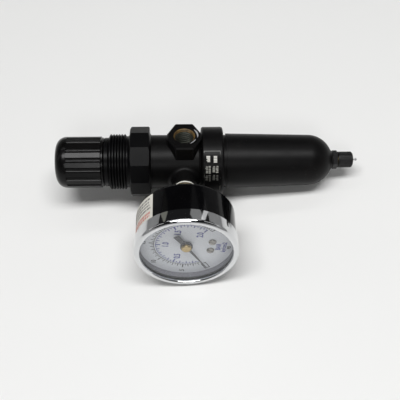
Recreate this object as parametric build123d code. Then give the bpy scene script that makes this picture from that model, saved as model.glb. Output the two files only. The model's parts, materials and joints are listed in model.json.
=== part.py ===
from build123d import *
import os
from math import acos, atan2, cos, degrees, pi, radians, sin, sqrt, tan

# Miniature filter-regulator: knob, panel bonnet, diaphragm and valve, metal bowl with an
# automatic drain, and a 50 mm Bourdon gauge on its front port.
#
# Bench frame of the design, in millimetres: X runs along the body from the knob to the
# drain, Z along the two pipe ports, and the gauge looks towards -Y. The two axes cross at
# the origin. resting_place() then lays the finished part on a bench.

# ---------------------------------------------------------------- driving dimensions
# Knob
KNOB_X0 = -69.4             # crown of the cap
KNOB_CAP_X = -63.2          # end of the smooth cap, start of the flutes
KNOB_SKIRT_X = -44.9        # end of the flutes
KNOB_X1 = -43.5             # open rim
KNOB_R = 13.9
KNOB_LAND = 13.84           # distance of the flat lands between the flutes from the axis
KNOB_CORNER = 5.6
KNOB_WALL = 1.9
KNOB_ROOF = 4.2             # thickness of the crown
FLUTES = 16
FLUTE_R = 1.5
FLUTE_DEPTH = 1.0
FLUTE_TURN = 5.0            # one flute lies this many degrees above the gauge axis
HUB_R = 6.6
HUB_X1 = -52.0
HEX_FLATS = 8.0             # drive hexagon between screw and knob

# Bonnet
BONNET_X0 = -43.2
SKIRT_R = 13.2              # plain ring under the knob
SKIRT_X1 = -41.1
THREAD_X0 = -40.4
THREAD_X1 = -31.5
THREAD_R = 15.0             # M30 x 1.5 panel thread
THREAD_PITCH = 1.5
NECK_R = 14.0
NECK_X1 = -30.4
FLANGE_X0 = -29.1
FLANGE_X1 = -18.7
FLANGE_SIDES = 12
FLANGE_R = 19.06            # over the corners
FLANGE_TURN = 24.0          # a facet centre stands this many degrees above the gauge axis
SPRING_BORE_R = 10.7
SPRING_BORE_X0 = -40.2
NOSE_R = 9.0                # sleeve that carries the screw
NOSE_X0 = -50.0
KEYWAY = 3.4

# Adjusting screw and range spring
SCREW_R = 4.0
SCREW_NECK_R = 3.3          # groove for the clip
SCREW_COLLAR_R = 6.0
SCREW_X1 = -26.0
NUT_X0 = -38.0
NUT_X1 = -31.6
NUT_THICK = 2.6
SPRING_R = 8.2
SPRING_WIRE = 1.8
SPRING_COILS = 4
PLATE_X0 = -20.9
PLATE_X1 = -19.7
PLATE_R = 9.9
BEAD_R = 14.4               # clamped rim of the diaphragm
FOLD_R = 10.9               # middle of its rolled fold

# Body
BODY_R = 14.4
BODY_X1 = 20.8
COLLAR_X0 = 9.3
COLLAR_R = 18.6
CAVITY_X0 = 11.0            # floor of the bowl socket
CAVITY_R = 15.6
PORT_FACE = 19.2            # distance of each pipe port face from the body axis
PORT_FLATS = 9.7            # half the size across the flats that face the gauge
PORT_FLAT_HALF = 4.7        # half the length of such a flat
PORT_SIDE = 9.1             # half the size along the body
PORT_SIDE_HALF = 2.0
PORT_BORE_R = 5.7           # 1/4 NPT
PORT_DEPTH = 10.4
GAUGE_BOSS_R = 7.0
GAUGE_BOSS_FACE = 20.0
REAR_BOSS_FACE = 17.5
GAUGE_BORE_R = 4.4          # 1/8 NPT
BOSS_BLEND = 2.4
CHAMBER_R = 12.2            # under the diaphragm
CHAMBER_X1 = -13.0

# Valve
SEAT_X = 1.0
STEM_X0 = -17.1
STEM_R = 1.25
VALVE_BORE_R = 5.0
OUTLET_X0 = -7.0            # outlet chamber, up to the seat
OUTLET_X1 = -1.0
OUTLET_R = 4.4
GUIDE_X0 = 8.4
GUIDE_X1 = 12.2

# Bowl
BOWL_X0 = 13.0              # end inside the collar
BOWL_R0 = 14.95
BOWL_R1 = 13.8
BOWL_DOME_X = 67.6
BOWL_WALL = 1.9
BOWL_NECK_R = 4.85
BOWL_NECK_X1 = 81.5

# Drain
LOCK_NUT_FLATS = 8.8
LOCK_NUT_X1 = 84.0
DRAIN_NUT_X0 = 84.4
DRAIN_NUT_X1 = 93.0
DRAIN_NUT_R = 4.38
DRAIN_END_X = 95.2
DRAIN_SHANK_R = 3.0
DRAIN_FLANGE_X = 76.8
DRAIN_FLANGE_R = 5.5
DRAIN_TUBE_X0 = 50.0
DRAIN_TUBE_R = 3.4
DRAIN_SPRING_X0 = 60.0
DRAIN_SPRING_X1 = 71.0
DRAIN_SEAL_GAP = 1.2
DRAIN_PIN_R = 0.45
DRAIN_HEAD_R = 0.75
FLOAT_X0 = 52.0
FLOAT_X1 = 68.0
FLOAT_R = 9.6

# Filter
FILTER_X0 = 14.6
FILTER_X1 = 42.0
FILTER_R = 9.4
FILTER_BORE_R = 6.4
POST_R = 2.95
POST_X1 = 47.0

# Gauge, with stations measured from the body axis towards the viewer
CASE_BACK = 38.8
CASE_FRONT = 57.4
CASE_R = 25.2
CASE_WALL = 1.3
BEZEL_BACK = 56.7
BEZEL_FRONT = 64.4
BEZEL_LIP = 63.4
BEZEL_R = 26.0
BEZEL_OPENING = 23.1
DIAL_FACE = 58.0
DIAL_THICK = 0.7
WINDOW_BACK = 61.6
WINDOW_THICK = 1.6
RIM_BORE_R = 23.6           # inside of the dial ring and the gasket
POINTER_FACE = 59.7
POINTER_TIP = 20.3
POINTER_TAIL = 9.8
HUB_HEIGHT = 1.3
DIAL_ZERO = 149.5           # pointer at zero, clockwise from the upper port
DIAL_SWEEP = 270.0
DIAL_SCREWS = ((13.0, 2.0), (12.1, -4.6))
GEAR_MODULE = 0.25
PINION_TEETH = 12
SECTOR_TEETH = 108          # if it were a whole wheel
SECTOR_REACH = 8            # teeth each side of the sector's middle
SECTOR_MESH = 141.0         # direction of the sector arbor from the pinion
SECTOR_SWING = DIAL_SWEEP * PINION_TEETH / SECTOR_TEETH
SECTOR_CENTRE = GEAR_MODULE * (PINION_TEETH + SECTOR_TEETH) / 2
TAIL_X = -4.0               # link hole in the sector's own frame
TAIL_Z = -1.4
MOVEMENT_BACK = 46.6        # underside of the back movement plate
MOVEMENT_PLATE = 0.8
MOVEMENT_FRONT = 54.4
STEM_FLANGE_X0 = 21.2       # stations of the stem's round flange and of its square
STEM_FLANGE_X1 = 22.6
STEM_FLANGE_R = 6.1
STEM_SHANK_R = 5.2
STEM_SQUARE = 11.0
CASE_SCREW_OUT = 9.0
SECTOR_BACK = 51.5
LINK_BACK = 52.6
TUBE_R = 19.6               # centre line of the Bourdon tube
TUBE_ROOT = 228.0           # clock angle of its fixed end
TUBE_TURN = 250.0           # angle from the fixed end round to the tip

# Labels
LABEL_X0 = 10.1             # rating label on the collar
LABEL_X1 = 18.8
LABEL_LOW = -10.0           # its two ends, in degrees above the gauge axis
LABEL_HIGH = 62.0

# Rest on the bench: gauge tilted up, drain end tipped down
LEAN_ANGLE = 5.65
TIP_ANGLE = 5.20

RUNNING = 0.05              # radial clearance of a running fit


# ---------------------------------------------------------------- shaping helpers
def turned(points):
    """Solid of revolution about the body axis from a closed (x, radius) outline."""
    return revolve(make_face(Polyline(*points, close=True)), Axis.X)


def gauge_turned(points):
    """Solid of revolution about the gauge axis from a closed (station, radius) outline."""
    outline = [(radius, -station) for station, radius in points]
    return revolve(make_face(Polyline(*outline, close=True)), Axis.Y)


def ring(x0, x1, outer, inner=0.0):
    """Tube or disc along the body axis."""
    return turned([(x0, inner), (x1, inner), (x1, outer), (x0, outer)])


def gauge_ring(g0, g1, outer, inner=0.0):
    """Tube or disc along the gauge axis."""
    return gauge_turned([(g0, inner), (g1, inner), (g1, outer), (g0, outer)])


def rod(start, end, radius):
    """Round bar between two points."""
    way = Vector(*end) - Vector(*start)
    return extrude(Plane(origin=start, z_dir=way) * Circle(radius), way.length)


def rims(shape, radius, centre, axis=Axis.X):
    """Round edges of one radius whose centre lies at a station along an axis."""
    along = axis.direction

    def wanted(edge):
        return abs(edge.radius - radius) < 0.01 and abs(edge.arc_center.dot(along) - centre) < 0.01

    return shape.edges().filter_by(GeomType.CIRCLE).filter_by(wanted)


def around_x(shape, count, start=0.0):
    """Copies of a shape at equal angles about the body axis."""
    return [Rot(X=start + 360.0 * i / count) * shape for i in range(count)]


def prism_x(sides, radius, x0, x1, turn):
    """Regular prism along the body axis, one corner at the angle turn above -Y."""
    outline = Plane.YZ * RegularPolygon(radius, sides, rotation=180.0 - turn)
    return Pos(X=x0) * extrude(outline, x1 - x0)


def torus_x(x, major, minor):
    """O-ring about the body axis."""
    return revolve(Pos(x, major) * Circle(minor), Axis.X)


def coil_spring(x0, x1, coil_r, wire, turns):
    """Helical spring whose wire just touches the two planes x0 and x1."""
    height = x1 - x0 - wire
    path = Helix(height / turns, height, coil_r)
    start = Plane(origin=path @ 0, z_dir=path % 0)
    return Pos(X=x0 + wire / 2) * Rot(Y=90) * sweep(start * Circle(wire / 2), path, is_frenet=True)


def at_dial(radius, angle, station):
    """Point in front of the body axis at a clock angle from the upper port."""
    return (radius * sin(radians(angle)), -station, radius * cos(radians(angle)))


# ---------------------------------------------------------------- knob and bonnet
def adjusting_knob():
    shell = turned([
        (KNOB_X0, 0), (KNOB_X0, KNOB_R), (KNOB_SKIRT_X, KNOB_R), (KNOB_SKIRT_X + 0.4, KNOB_R - 0.6),
        (KNOB_X1 - 0.3, KNOB_R - 0.6), (KNOB_X1, KNOB_R - 0.9), (KNOB_X1, 0),
    ])
    shell = fillet(rims(shell, KNOB_R, KNOB_X0), KNOB_CORNER)
    axis_r = KNOB_R - FLUTE_DEPTH + FLUTE_R
    flute = rod((KNOB_CAP_X, -axis_r, 0), (KNOB_SKIRT_X, -axis_r, 0), FLUTE_R)
    shell -= around_x(flute, FLUTES, -FLUTE_TURN)
    lands = prism_x(FLUTES, KNOB_LAND / cos(pi / FLUTES), KNOB_CAP_X, KNOB_SKIRT_X, FLUTE_TURN)
    shell -= ring(KNOB_CAP_X, KNOB_SKIRT_X, KNOB_R + 1.0) - lands
    hollow = ring(KNOB_X0 + KNOB_ROOF, KNOB_X1, KNOB_R - KNOB_WALL)
    hollow = fillet(rims(hollow, KNOB_R - KNOB_WALL, KNOB_X0 + KNOB_ROOF), 3.0)
    hub = ring(KNOB_X0 + KNOB_ROOF - 1.0, HUB_X1, HUB_R)
    socket_r = (HEX_FLATS / 2 + RUNNING) / cos(pi / 6)
    socket = prism_x(6, socket_r, KNOB_X0 + KNOB_ROOF - 0.8, HUB_X1, 0)
    return shell - hollow + hub - socket


def bonnet():
    flange = prism_x(FLANGE_SIDES, FLANGE_R, FLANGE_X0, FLANGE_X1, FLANGE_TURN - 180.0 / FLANGE_SIDES)
    bevel = turned([
        (FLANGE_X0, 0), (FLANGE_X1, 0), (FLANGE_X1, FLANGE_R - 0.5),
        (FLANGE_X1 - 0.5, FLANGE_R + 0.1), (FLANGE_X0 + 0.8, FLANGE_R + 0.1), (FLANGE_X0, FLANGE_R - 1.0),
    ])
    outline = [
        (BONNET_X0, 0), (BONNET_X0, SKIRT_R - 0.3), (BONNET_X0 + 0.3, SKIRT_R), (SKIRT_X1, SKIRT_R),
        (SKIRT_X1, SKIRT_R - 0.4),
    ]
    crest = 0.2 * THREAD_PITCH
    depth = 0.55 * THREAD_PITCH
    x = THREAD_X0
    while x < THREAD_X1 - THREAD_PITCH / 2:
        outline += [
            (x, THREAD_R - depth), (x + 0.5 * THREAD_PITCH - crest, THREAD_R),
            (x + 0.5 * THREAD_PITCH + crest, THREAD_R),
        ]
        x += THREAD_PITCH
    outline += [
        (THREAD_X1 + 0.1, THREAD_R - depth), (THREAD_X1 + 0.5, NECK_R), (NECK_X1, NECK_R),
        (NECK_X1 + 0.7, NECK_R + 0.4), (FLANGE_X0, NECK_R + 1.6), (FLANGE_X0 + 0.5, NECK_R + 1.6),
        (FLANGE_X0 + 0.5, 0),
    ]
    shape = turned(outline) + (flange & bevel) + ring(NOSE_X0, BONNET_X0 + 0.1, NOSE_R)
    shape -= ring(SPRING_BORE_X0, FLANGE_X1, SPRING_BORE_R)
    shape -= ring(NOSE_X0, SPRING_BORE_X0, SCREW_R + RUNNING)
    shape -= ring(PLATE_X1 - 0.2, FLANGE_X1, BEAD_R + 0.1)
    keyway = Pos(X=SPRING_BORE_X0) * Box(
        FLANGE_X1 - SPRING_BORE_X0, KEYWAY, 2 * SPRING_BORE_R + 2.0,
        align=(Align.MIN, Align.CENTER, Align.CENTER),
    )
    return shape - keyway


def adjusting_screw():
    hex_x0 = KNOB_X0 + KNOB_ROOF + 0.2
    hex_x1 = NOSE_X0 - 1.2
    hexagon = prism_x(6, HEX_FLATS / 2 / cos(pi / 6), hex_x0, hex_x1, 0)
    tip = turned([
        (hex_x0, 0), (hex_x1, 0), (hex_x1, HEX_FLATS), (hex_x0 + 1.0, HEX_FLATS), (hex_x0, HEX_FLATS / 2),
    ])
    collar_x0 = SPRING_BORE_X0 + 0.8
    shank = turned([
        (hex_x1, 0), (hex_x1, SCREW_R), (NOSE_X0 - 1.0, SCREW_R), (NOSE_X0 - 1.0, SCREW_NECK_R),
        (NOSE_X0 - 0.1, SCREW_NECK_R), (NOSE_X0 - 0.1, SCREW_R), (collar_x0, SCREW_R),
        (collar_x0, SCREW_COLLAR_R), (NUT_X0 - 0.4, SCREW_COLLAR_R), (NUT_X0 - 0.4, SCREW_R),
        (SCREW_X1 - 0.6, SCREW_R), (SCREW_X1, SCREW_R - 0.6), (SCREW_X1, 0),
    ])
    return (hexagon & tip) + shank


def screw_clip():
    clip = ring(NOSE_X0 - 0.95, NOSE_X0 - 0.15, 6.2, SCREW_NECK_R + RUNNING)
    return clip - Pos(NOSE_X0 - 0.55, -5, 0) * Box(2, 10, 5.4)


def thrust_washer():
    return ring(SPRING_BORE_X0, SPRING_BORE_X0 + 0.75, 7.0, SCREW_R + 0.1)


def spring_nut():
    shape = ring(NUT_X0, NUT_X0 + NUT_THICK, SPRING_BORE_R - 0.25)
    shape += ring(NUT_X0 + NUT_THICK, NUT_X1, SPRING_R - SPRING_WIRE / 2 - 0.5)
    lugs = Pos(NUT_X0, 0, 0) * Box(
        NUT_THICK, KEYWAY - 0.4, 2 * SPRING_BORE_R + 1.4, align=(Align.MIN, Align.CENTER, Align.CENTER),
    )
    return shape + lugs - ring(NUT_X0, NUT_X1, SCREW_R + RUNNING)


def regulating_spring():
    return coil_spring(NUT_X0 + NUT_THICK, PLATE_X0, SPRING_R, SPRING_WIRE, SPRING_COILS)


# ---------------------------------------------------------------- diaphragm and valve
def diaphragm_plate():
    cup_x = PLATE_X0 - 1.5
    return turned([
        (PLATE_X0, 2.95), (PLATE_X0, 6.2), (cup_x, 6.2), (cup_x, 7.0), (PLATE_X0, 7.0),
        (PLATE_X0, PLATE_R - 0.3), (PLATE_X0 + 0.3, PLATE_R), (PLATE_X1, PLATE_R), (PLATE_X1, 2.95),
    ])


def diaphragm():
    web = ring(PLATE_X1, PLATE_X1 + 0.8, FOLD_R - 0.7, 2.95)
    bead = ring(PLATE_X1, FLANGE_X1, BEAD_R, FOLD_R + 1.1)
    fold = revolve(Pos(PLATE_X1 + 0.4, FOLD_R) * Circle(1.25), Axis.X)
    fold -= revolve(Pos(PLATE_X1 + 0.4, FOLD_R) * Circle(0.7), Axis.X)
    fold &= ring(PLATE_X1 + 0.4, PLATE_X1 + 3, FOLD_R + 2.1, FOLD_R - 1.9)
    return web + bead + fold


def diaphragm_button():
    base_x = PLATE_X1 + 0.8
    return turned([
        (PLATE_X0 - 1.1, 0.7), (PLATE_X0 - 1.1, 2.9), (base_x, 2.9), (base_x, 5.0), (base_x + 1.0, 5.0),
        (base_x + 1.6, 4.4), (base_x + 1.6, 0.7),
    ])


def port_blocks():
    """Eight-sided blocks of the two pipe ports, one flat towards the gauge."""
    corners = [
        (PORT_FLAT_HALF, PORT_FLATS), (PORT_SIDE, PORT_SIDE_HALF), (PORT_SIDE, -PORT_SIDE_HALF),
        (PORT_FLAT_HALF, -PORT_FLATS),
    ]
    corners += [(-x, y) for x, y in reversed(corners)]
    outline = make_face(Polyline(*corners, close=True))
    outline = fillet(outline.vertices(), 0.8)
    block = extrude(outline, PORT_FACE, both=True)
    ends = block.faces().sort_by(Axis.Z)
    return chamfer(ends[-1].edges() + ends[0].edges(), 0.7)


def body():
    barrel = ring(FLANGE_X1, BODY_X1, BODY_R)
    bosses = gauge_ring(-REAR_BOSS_FACE, GAUGE_BOSS_FACE, GAUGE_BOSS_R)
    barrel += bosses
    seams = [e for e in barrel.edges() if e.geom_type not in (GeomType.CIRCLE, GeomType.LINE)]
    barrel = fillet(seams, BOSS_BLEND)
    barrel = chamfer(rims(barrel, GAUGE_BOSS_R, -GAUGE_BOSS_FACE, Axis.Y), 0.4)
    barrel += turned([
        (FLANGE_X1, 0), (FLANGE_X1, BODY_R + 1.2), (FLANGE_X1 + 0.9, BODY_R), (FLANGE_X1 + 0.9, 0)])
    collar = turned([
        (COLLAR_X0 - 1.8, 0), (COLLAR_X0 - 1.8, BODY_R - 0.01), (COLLAR_X0 - 0.9, BODY_R + 0.4),
        (COLLAR_X0 - 0.3, BODY_R + 1.4), (COLLAR_X0, COLLAR_R - 0.6), (COLLAR_X0 + 0.6, COLLAR_R),
        (BODY_X1 - 1.0, COLLAR_R), (BODY_X1 - 0.3, COLLAR_R - 0.3), (BODY_X1, COLLAR_R - 1.0), (BODY_X1, 0),
    ])
    shape = barrel + collar + port_blocks()
    # diaphragm chamber, stem guide, outlet chamber, poppet bore and bowl socket
    shape -= ring(FLANGE_X1, CHAMBER_X1, CHAMBER_R)
    shape -= ring(CHAMBER_X1, OUTLET_X0, STEM_R + RUNNING)
    shape -= ring(OUTLET_X0, OUTLET_X1, OUTLET_R)
    shape -= ring(OUTLET_X1, CAVITY_X0, VALVE_BORE_R)
    shape -= ring(CAVITY_X0, BODY_X1, CAVITY_R)
    shape -= rod((CHAMBER_X1 - 1, -3.0, 0), (OUTLET_X0 + 1, -3.0, 0), 0.8)
    # pipe ports, gauge ports and the cored passages between them
    port_floor = PORT_FACE - PORT_DEPTH
    for side in (-1, 1):
        shape -= rod((0, 0, side * port_floor), (0, 0, side * (PORT_FACE + 1)), PORT_BORE_R)
    shape -= rod((3.6, 0, port_floor + 1.8), (CAVITY_X0 + 1, 0, port_floor + 1.8), 1.9)
    shape -= rod((-3.6, 0, -port_floor - 1), (-3.6, 0, 0), 2.0)
    shape -= rod((-2.7, -11, 0), (-2.7, 0, 0), 1.2)
    shape -= gauge_ring(10, GAUGE_BOSS_FACE, GAUGE_BORE_R) + gauge_ring(-REAR_BOSS_FACE, -9, GAUGE_BORE_R)
    return shape


def gauge_port_plug():
    plug = gauge_turned([
        (-REAR_BOSS_FACE, 0), (-REAR_BOSS_FACE + 0.3, 0), (-REAR_BOSS_FACE + 0.6, GAUGE_BORE_R - 0.3),
        (-REAR_BOSS_FACE + 0.9, GAUGE_BORE_R), (-10.5, GAUGE_BORE_R), (-10.5, 0),
    ])
    socket = Plane(origin=(0, REAR_BOSS_FACE + 1, 0), z_dir=(0, -1, 0)) * RegularPolygon(2.75, 6)
    return plug - extrude(socket, 4.2)


def valve_seat():
    return turned([
        (OUTLET_X1, 2.6), (SEAT_X, 2.6), (SEAT_X, 3.1), (SEAT_X - 0.5, 3.4), (SEAT_X - 0.5, VALVE_BORE_R),
        (OUTLET_X1, VALVE_BORE_R),
    ])


def valve_stem():
    end_x = GUIDE_X1 + 0.4
    return turned([(STEM_X0, 0), (STEM_X0, 0.5), (STEM_X0 + 0.7, STEM_R), (end_x, STEM_R), (end_x, 0)])


def valve_poppet():
    return turned([
        (SEAT_X + 1.0, STEM_R), (SEAT_X + 1.0, 4.1), (SEAT_X + 2.4, 4.1), (SEAT_X + 2.4, 2.2),
        (SEAT_X + 5.2, 2.2), (SEAT_X + 5.2, STEM_R),
    ])


def poppet_seal():
    return ring(SEAT_X + 0.02, SEAT_X + 1.0, 3.9, STEM_R)


def valve_spring():
    return coil_spring(SEAT_X + 2.4, GUIDE_X0, 3.1, 0.5, 5)


def valve_guide():
    guide = turned([
        (GUIDE_X0, STEM_R + RUNNING), (GUIDE_X0, VALVE_BORE_R), (CAVITY_X0, VALVE_BORE_R),
        (CAVITY_X0, 7.4), (GUIDE_X1, 7.4), (GUIDE_X1, STEM_R + RUNNING),
    ])
    hole = rod((GUIDE_X0 - 1, 3.3, 0), (GUIDE_X1 + 1, 3.3, 0), 0.9)
    return guide - around_x(hole, 6)


# ---------------------------------------------------------------- bowl, filter and drain
def bowl_profile(inset):
    """The bowl's outside, shrunk by a wall: a slight taper that ends in a half sphere."""
    x0 = BODY_X1 + 1.9
    dome_r = BOWL_R1 - inset
    outline = [
        Line((x0, 0), (x0, BOWL_R0 - inset)),
        Line((x0, BOWL_R0 - inset), (BOWL_DOME_X, dome_r)),
        ThreePointArc(
            (BOWL_DOME_X, dome_r),
            (BOWL_DOME_X + dome_r * sin(pi / 4), dome_r * cos(pi / 4)),
            (BOWL_DOME_X + dome_r, 0),
        ),
        Line((BOWL_DOME_X + dome_r, 0), (x0, 0)),
    ]
    return revolve(make_face(outline), Axis.X)


def bowl():
    shape = bowl_profile(0)
    shape += turned([
        (BOWL_X0, 0), (BOWL_X0, CAVITY_R - 0.5), (BOWL_X0 + 0.5, CAVITY_R), (BODY_X1, CAVITY_R),
        (BODY_X1, 14.2), (BODY_X1 + 2.0, 14.2), (BODY_X1 + 2.0, 0),
    ])
    neck_x = BOWL_DOME_X + BOWL_R1 * cos(radians(22))
    shape += turned([
        (neck_x - 1.5, 0), (neck_x - 0.9, 6.6), (neck_x + 0.2, 5.3), (neck_x + 0.7, BOWL_NECK_R),
        (BOWL_NECK_X1, BOWL_NECK_R), (BOWL_NECK_X1, 0),
    ])
    shape -= bowl_profile(BOWL_WALL)
    shape -= ring(BOWL_X0, BODY_X1 + 2.1, 12.9)
    shape -= ring(DRAIN_FLANGE_X - 2, DRAIN_FLANGE_X + DRAIN_SEAL_GAP, DRAIN_FLANGE_R + 0.4)
    return shape - ring(DRAIN_FLANGE_X, BOWL_NECK_X1, DRAIN_SHANK_R)


def bowl_oring():
    return torus_x((CAVITY_X0 + BOWL_X0) / 2, 14.4, 0.95)


def deflector():
    """Louvred disc that spins the air before the filter."""
    back_x = GUIDE_X1 + 0.2
    front_x = back_x + 1.8
    shape = turned([
        (back_x, POST_R + 0.15), (back_x, 7.6), (back_x + 0.5, 12.0), (front_x, 12.0),
        (front_x, POST_R + 0.15),
    ])
    slot = Pos(back_x + 0.9, 9.9, 0) * Rot(Y=35) * Box(4, 3.0, 0.9)
    return shape - around_x(slot, 12)


def filter_element():
    return ring(FILTER_X0, FILTER_X1, FILTER_R, FILTER_BORE_R)


def filter_gasket():
    return ring(FILTER_X0 - 0.4, FILTER_X0, FILTER_R - 0.4, FILTER_BORE_R)


def filter_post():
    shape = ring(GUIDE_X1, POST_X1 - 1, POST_R) + ring(POST_X1 - 2, POST_X1, 4.6)
    shape -= ring(GUIDE_X1, FILTER_X1 - 2, 1.45)
    return shape - rod((30, -4, 0), (30, 4, 0), 0.9) - rod((24, 0, -4), (24, 0, 4), 0.9)


def baffle():
    """Shed under the filter that keeps the collected water calm."""
    return turned([
        (FILTER_X1, POST_R + 0.05), (FILTER_X1, 9.8), (FILTER_X1 + 2.6, 11.6), (POST_X1, 11.6),
        (POST_X1, 10.9), (FILTER_X1 + 2.9, 10.9), (FILTER_X1 + 1.2, 9.4), (POST_X1 - 2, 9.0),
        (POST_X1 - 2, POST_R + 0.05),
    ])


def drain_body():
    shoulder_x = DRAIN_FLANGE_X - 1.8
    end_x = DRAIN_NUT_X1 - 0.9
    shape = turned([
        (DRAIN_TUBE_X0, 0), (DRAIN_TUBE_X0, DRAIN_TUBE_R - 0.4), (DRAIN_TUBE_X0 + 0.4, DRAIN_TUBE_R),
        (shoulder_x, DRAIN_TUBE_R), (shoulder_x, DRAIN_FLANGE_R), (DRAIN_FLANGE_X, DRAIN_FLANGE_R),
        (DRAIN_FLANGE_X, DRAIN_SHANK_R), (end_x, DRAIN_SHANK_R), (end_x, 0),
    ])
    shape -= ring(DRAIN_TUBE_X0 + 4, DRAIN_SPRING_X1, 1.5)
    shape -= ring(DRAIN_SPRING_X1, DRAIN_NUT_X1, DRAIN_PIN_R + RUNNING)
    shape -= ring(LOCK_NUT_X1, DRAIN_NUT_X1, 1.5)
    return shape - rod((DRAIN_TUBE_X0 + 6, -4, 0), (DRAIN_TUBE_X0 + 6, 4, 0), 0.7)


def drain_float():
    shape = ring(FLOAT_X0, FLOAT_X1, FLOAT_R, DRAIN_TUBE_R + 0.25)
    return fillet(rims(shape, FLOAT_R, FLOAT_X0) + rims(shape, FLOAT_R, FLOAT_X1), 1.2)


def drain_oring():
    return torus_x(DRAIN_FLANGE_X + DRAIN_SEAL_GAP / 2, 4.6, DRAIN_SEAL_GAP / 2)


def drain_lock_nut():
    """Thin hexagon nut that clamps the drain in the bowl's neck, flats towards the port axis."""
    nut = prism_x(6, LOCK_NUT_FLATS / 2 / cos(pi / 6), BOWL_NECK_X1, LOCK_NUT_X1, 15.0)
    nut &= turned([
        (BOWL_NECK_X1, 0), (BOWL_NECK_X1, 5.0), (BOWL_NECK_X1 + 0.5, 5.6), (LOCK_NUT_X1 - 0.5, 5.6),
        (LOCK_NUT_X1, 5.0), (LOCK_NUT_X1, 0),
    ])
    return nut - ring(BOWL_NECK_X1, LOCK_NUT_X1, DRAIN_SHANK_R)


def drain_nut():
    """Round outlet nut, finely grooved, with a crowned end that the push pin passes."""
    shape = turned([
        (DRAIN_NUT_X0, DRAIN_SHANK_R), (DRAIN_NUT_X0, DRAIN_NUT_R - 0.2), (DRAIN_NUT_X0 + 0.2, DRAIN_NUT_R),
        (DRAIN_NUT_X1 - 1.3, DRAIN_NUT_R), (DRAIN_NUT_X1 - 0.6, DRAIN_NUT_R - 0.6),
        (DRAIN_NUT_X1 - 0.2, 2.6), (DRAIN_NUT_X1, 1.9), (DRAIN_NUT_X1, 1.5), (DRAIN_NUT_X1 - 0.9, 1.5),
        (DRAIN_NUT_X1 - 0.9, DRAIN_SHANK_R),
    ])
    groove_r = DRAIN_NUT_R + 0.25
    groove = rod((DRAIN_NUT_X0 + 1.0, -groove_r, 0), (DRAIN_NUT_X1 - 1.6, -groove_r, 0), 0.42)
    return shape - around_x(groove, 24)


def drain_pin():
    return turned([
        (DRAIN_SPRING_X0 - 2, 0), (DRAIN_SPRING_X0 - 2, 1.3), (DRAIN_SPRING_X0, 1.3),
        (DRAIN_SPRING_X0, DRAIN_PIN_R), (DRAIN_END_X - 1.2, DRAIN_PIN_R),
        (DRAIN_END_X - 0.8, DRAIN_HEAD_R), (DRAIN_END_X - 0.2, DRAIN_HEAD_R),
        (DRAIN_END_X, DRAIN_HEAD_R - 0.2), (DRAIN_END_X, 0),
    ])


def drain_spring():
    return coil_spring(DRAIN_SPRING_X0, DRAIN_SPRING_X1, 1.0, 0.35, 9)


# ---------------------------------------------------------------- gauge
def gauge_stem():
    thread_back = GAUGE_BOSS_FACE - 9.0
    inside = CASE_BACK + CASE_WALL
    shape = gauge_turned([
        (thread_back, 0), (thread_back, GAUGE_BORE_R - 0.2), (thread_back + 0.4, GAUGE_BORE_R),
        (STEM_FLANGE_X0, GAUGE_BORE_R), (STEM_FLANGE_X0, STEM_FLANGE_R), (STEM_FLANGE_X1, STEM_FLANGE_R),
        (STEM_FLANGE_X1, STEM_SHANK_R), (inside, STEM_SHANK_R), (inside, 0),
    ])
    square = STEM_FLANGE_X1 + 1.0
    shape += Pos(Y=-(square + CASE_BACK - 4) / 2) * Box(STEM_SQUARE, CASE_BACK - 4 - square, STEM_SQUARE)
    height = MOVEMENT_BACK - inside
    block = Pos(Y=-(inside + height / 2))
    shape += block * Box(8.0, height, 8.0)
    arm = Pos(Z=TUBE_R / 2) * Box(5.0, height, TUBE_R - 2.0)
    shape += Rot(Y=TUBE_ROOT) * block * arm
    return shape - gauge_ring(thread_back, inside + 2.5, 1.2)


def stem_tape():
    return gauge_ring(GAUGE_BOSS_FACE, STEM_FLANGE_X0, STEM_FLANGE_R - 0.4, GAUGE_BORE_R)


def gauge_case():
    shape = gauge_turned([
        (CASE_BACK, STEM_SHANK_R + RUNNING), (CASE_BACK, CASE_R - 2.0), (CASE_BACK + 0.6, CASE_R - 0.6),
        (CASE_BACK + 2.0, CASE_R), (CASE_FRONT, CASE_R), (CASE_FRONT, CASE_R - CASE_WALL),
        (CASE_BACK + 1.8, CASE_R - CASE_WALL), (CASE_BACK + CASE_WALL, CASE_R - 2.0),
        (CASE_BACK + CASE_WALL, STEM_SHANK_R + RUNNING),
    ])
    for x in (-CASE_SCREW_OUT, CASE_SCREW_OUT):
        shape -= rod((x, -CASE_BACK + 1, 0), (x, -CASE_BACK - 2, 0), 1.25)
    return shape


def case_screws():
    screws = []
    for x in (-CASE_SCREW_OUT, CASE_SCREW_OUT):
        head = rod((x, -CASE_BACK + 1.0, 0), (x, -CASE_BACK, 0), 2.3)
        shank = rod((x, -CASE_BACK, 0), (x, -CASE_BACK - 4.2, 0), 1.2)
        slot = Pos(x, -CASE_BACK + 1.0, 0) * Box(5, 1.0, 0.6)
        screws.append(head + shank - slot)
    return Compound(children=[screw.solid() for screw in screws])


def gauge_bezel():
    """Pressed ring: plain band, rolled front edge and a lip over the window."""
    seat = WINDOW_BACK + WINDOW_THICK
    edge = [
        (BEZEL_R, -(BEZEL_FRONT - 1.8)), (BEZEL_R - 0.5, -(BEZEL_FRONT - 0.5)), (BEZEL_R - 1.7, -BEZEL_FRONT),
    ]
    inside = [
        edge[-1], (BEZEL_OPENING + 0.5, -BEZEL_FRONT + 0.35), (BEZEL_OPENING, -BEZEL_LIP),
        (BEZEL_OPENING, -seat), (CASE_R, -seat), (CASE_R, -BEZEL_BACK), (BEZEL_R, -BEZEL_BACK), edge[0],
    ]
    return revolve(make_face([ThreePointArc(*edge), Polyline(*inside)]), Axis.Y)


def gauge_window():
    return gauge_ring(WINDOW_BACK, WINDOW_BACK + WINDOW_THICK, 24.9)


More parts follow.
